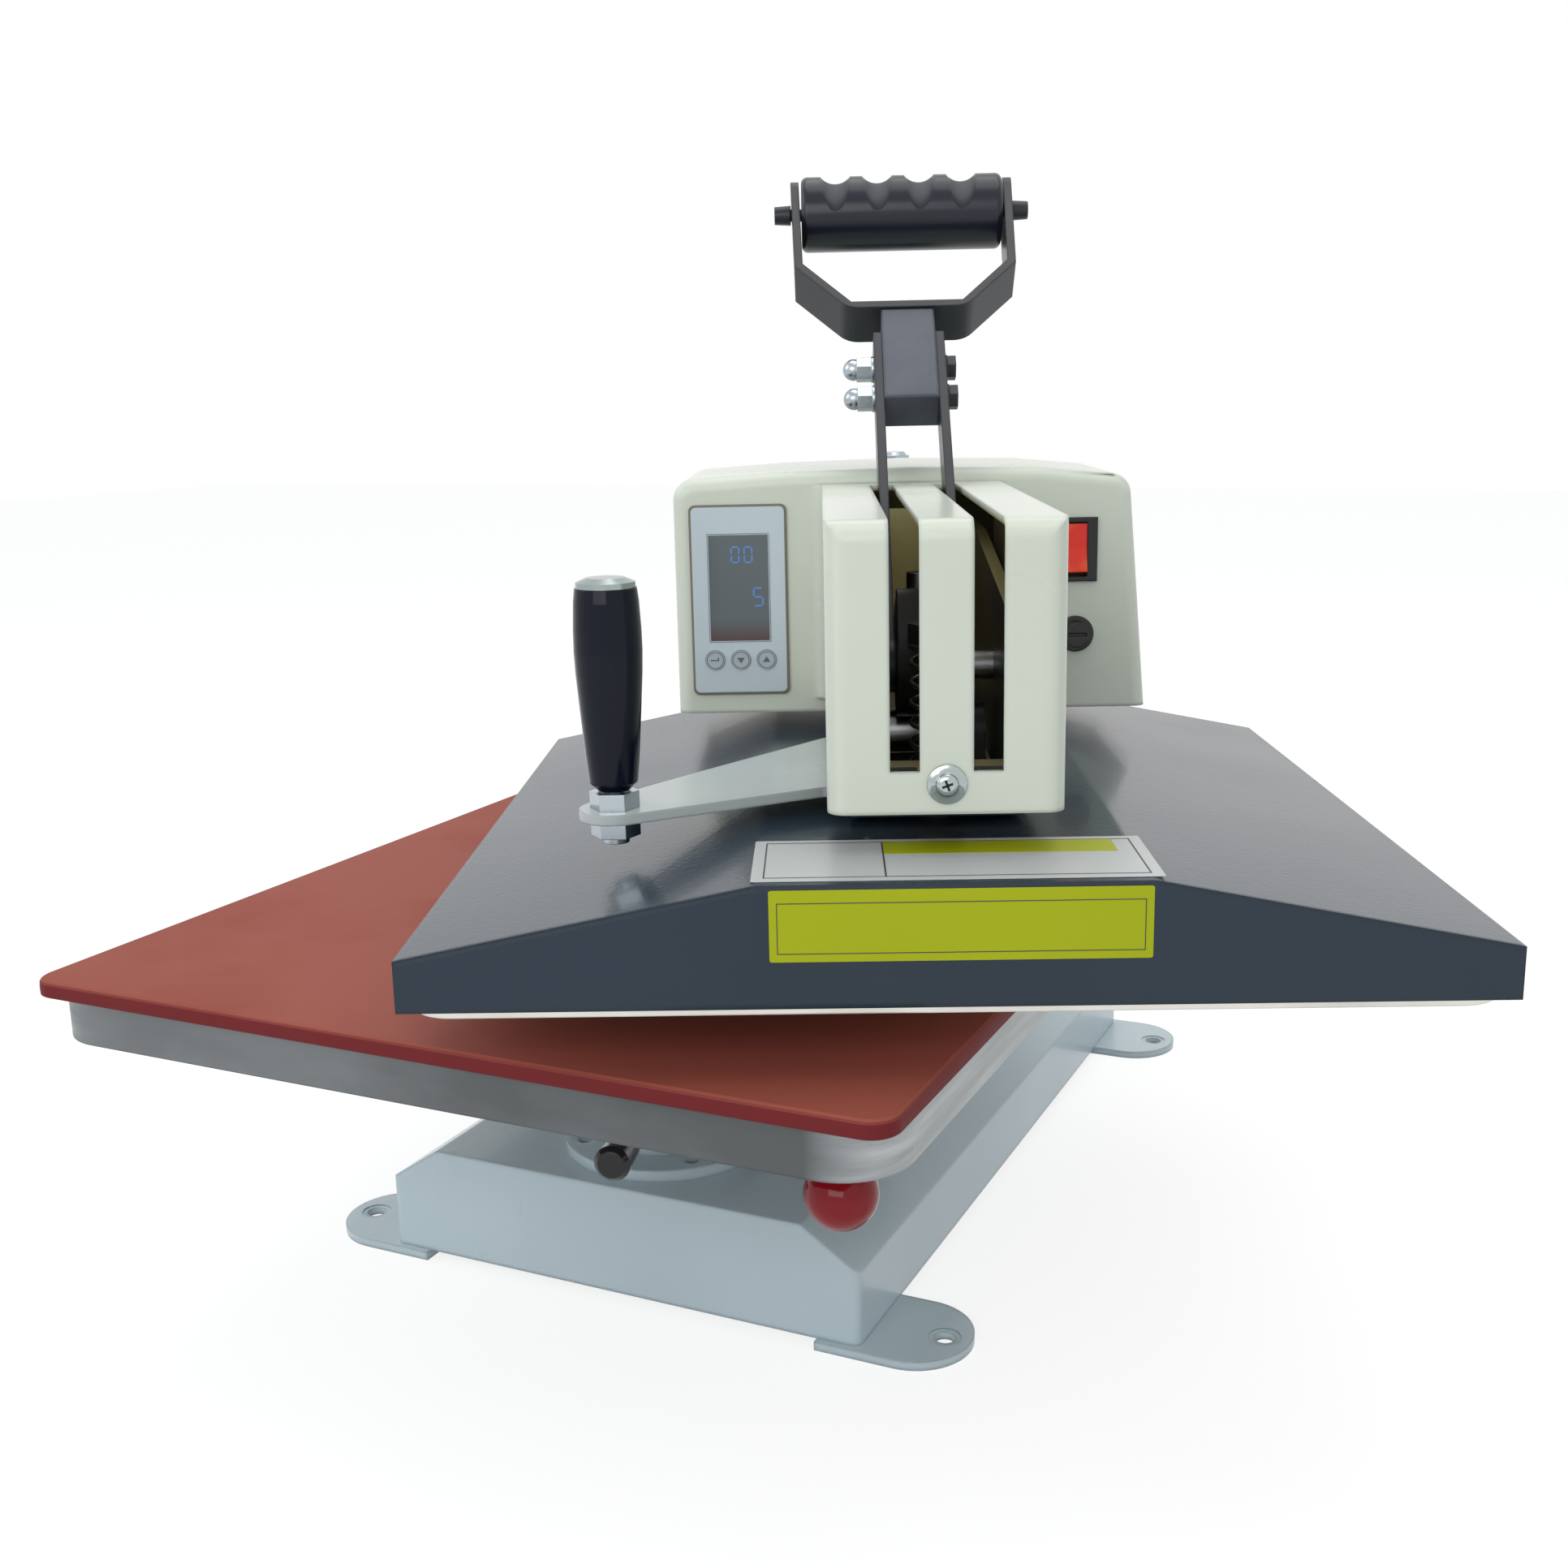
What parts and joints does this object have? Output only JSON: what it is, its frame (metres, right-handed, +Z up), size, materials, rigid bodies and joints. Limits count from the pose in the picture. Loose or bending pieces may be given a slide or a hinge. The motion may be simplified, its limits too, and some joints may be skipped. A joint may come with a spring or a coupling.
{
  "type": "flat heat press",
  "caption": "Swing-away flat heat press with a silicone-padded lower platen, a hooded heating platen, a cam lever and a control box.",
  "frame": {"origin": "on the bench surface, midway between the four foot holes", "axes": "+X to the right as the user stands in front, +Y to the back, +Z up; the head rests swung out 24 degrees to the right"},
  "size_m": [0.5586, 0.5946, 0.5043],
  "materials": {
    "base_paint": "gloss",
    "arm_paint": "satin",
    "cover_plastic": "satin",
    "hood_paint": "gloss",
    "tray_paint": "satin",
    "turned_steel": "turned",
    "lever_paint": "satin",
    "zinc": "bright",
    "black_steel": "black oxide",
    "bronze": "sintered",
    "aluminium": "milled",
    "heater_sheath": "heat tinted",
    "blanket": "woven glass",
    "silicone": "matt",
    "black_grip": "satin",
    "black_plastic": "gloss",
    "panel_film": "satin film",
    "red_ball": "gloss",
    "red_lens": "clear",
    "button_plastic": "satin",
    "board": "solder mask",
    "box_sheet": "satin"
  },
  "bodies": {
    "base": {"base_frame": "base_paint", "mounting_ears": "base_paint", "swing_post": "turned_steel", "stop_pins": "turned_steel", "post_bolts": "zinc", "post_cap": "zinc", "post_bolt": "zinc", "platen_socket": "base_paint"},
    "lock": {"lock_handle": "black_grip", "lock_screw": "turned_steel"},
    "collar": {"height_collar": "turned_steel", "collar_rod": "turned_steel", "ball_knob": "red_ball"},
    "lower_platen": {"platen_spindle": "tray_paint", "lower_tray": "tray_paint", "tray_screws": "black_steel", "silicone_pad": "silicone"},
    "head": {"head_arm": "arm_paint", "sleeve_bushes": "bronze", "lever_pin": "turned_steel", "guide_bushes": "bronze", "swing_plate": "base_paint", "swing_fasteners": "zinc", "swing_stud": "zinc", "head_cover": "cover_plastic", "cover_screw": "zinc", "box_back": "box_sheet", "power_inlet": "black_plastic", "control_panel": "panel_film", "control_board": "board", "switch_body": "black_plastic", "fuse_holder": "black_plastic", "return_springs": "black_steel"},
    "grip": {"swing_grip": "black_grip", "grip_cap": "zinc"},
    "lever": {"lever_bars": "lever_paint", "lever_cam": "black_steel", "lever_block": "lever_paint", "dome_nuts": "zinc", "lever_screws": "zinc", "lever_yoke": "lever_paint", "lever_grip": "black_grip", "grip_bolts": "zinc"},
    "press": {"roller_fork": "black_steel", "roller_pin": "turned_steel", "slide_bolts": "black_steel", "carrier_plate": "black_steel", "guide_rods": "turned_steel", "guide_nuts": "zinc", "heating_plate": "aluminium", "heating_tube": "heater_sheath", "heat_blanket": "blanket", "platen_hood": "hood_paint", "hood_posts": "zinc"},
    "roller": {"cam_roller": "turned_steel"},
    "rocker": {"power_rocker": "red_lens"},
    "down": {"down_button": "button_plastic"},
    "set": {"set_button": "button_plastic"},
    "up": {"up_button": "button_plastic"},
    "fuse": {"fuse_cap": "black_plastic"}
  },
  "joints": [
    {"name": "head_swing", "type": "hinge", "parent": "base", "child": "head", "pos_m": [0, 0.138, 0.25], "axis": [0, 0, 1], "range_deg": [-24, 96]},
    {"name": "press_lever", "type": "hinge", "parent": "head", "child": "lever", "pos_m": [0.13097, -0.15616, 0.289], "axis": [0.9135, 0.4067, 0], "range_deg": [0, 135]},
    {"name": "press_slide", "type": "slide", "parent": "head", "child": "press", "axis": [0, 0, -1], "range_m": [0, 0.0215], "deforming": ["return_springs"]},
    {"name": "roller_spin", "type": "hinge", "parent": "press", "child": "roller", "pos_m": [0.13097, -0.15616, 0.262], "axis": [0.9135, 0.4067, 0], "continuous": true},
    {"name": "grip_spin", "type": "hinge", "parent": "head", "child": "grip", "pos_m": [0.05754, -0.28628, 0.3], "axis": [0, 0, 1], "continuous": true},
    {"name": "collar_turn", "type": "hinge", "parent": "base", "child": "collar", "pos_m": [0, -0.156, 0.105], "axis": [0, 0, 1], "range_deg": [-180, 180]},
    {"name": "platen_height", "type": "slide", "parent": "base", "child": "lower_platen", "axis": [0, 0, 1], "range_m": [-0.0015, 0.0015]},
    {"name": "lock_turn", "type": "hinge", "parent": "base", "child": "lock", "pos_m": [0.01184, -0.20458, 0.083], "axis": [0.2368, -0.9715, 0], "range_deg": [0, 180]},
    {"name": "power_rock", "type": "hinge", "parent": "head", "child": "rocker", "pos_m": [0.15221, -0.01973, 0.3254], "axis": [0.9135, 0.4067, 0], "range_deg": [0, 15.5]},
    {"name": "fuse_turn", "type": "hinge", "parent": "head", "child": "fuse", "pos_m": [0.15812, -0.02585, 0.2856], "axis": [-0.4067, 0.9135, 0], "range_deg": [0, 90]},
    {"name": "down_press", "type": "slide", "parent": "head", "child": "down", "axis": [-0.4067, 0.9135, 0], "range_m": [0, 0.0004], "stiffness_N_per_m": 900},
    {"name": "set_press", "type": "slide", "parent": "head", "child": "set", "axis": [-0.4067, 0.9135, 0], "range_m": [0, 0.0004], "stiffness_N_per_m": 900},
    {"name": "up_press", "type": "slide", "parent": "head", "child": "up", "axis": [-0.4067, 0.9135, 0], "range_m": [0, 0.0004], "stiffness_N_per_m": 900}
  ],
  "couplings": [
    {"joint": "press_slide", "follows": "press_lever", "m_per_rad": 0.0091249},
    {"joint": "platen_height", "follows": "collar_turn", "m_per_rad": 0.00047746}
  ]
}
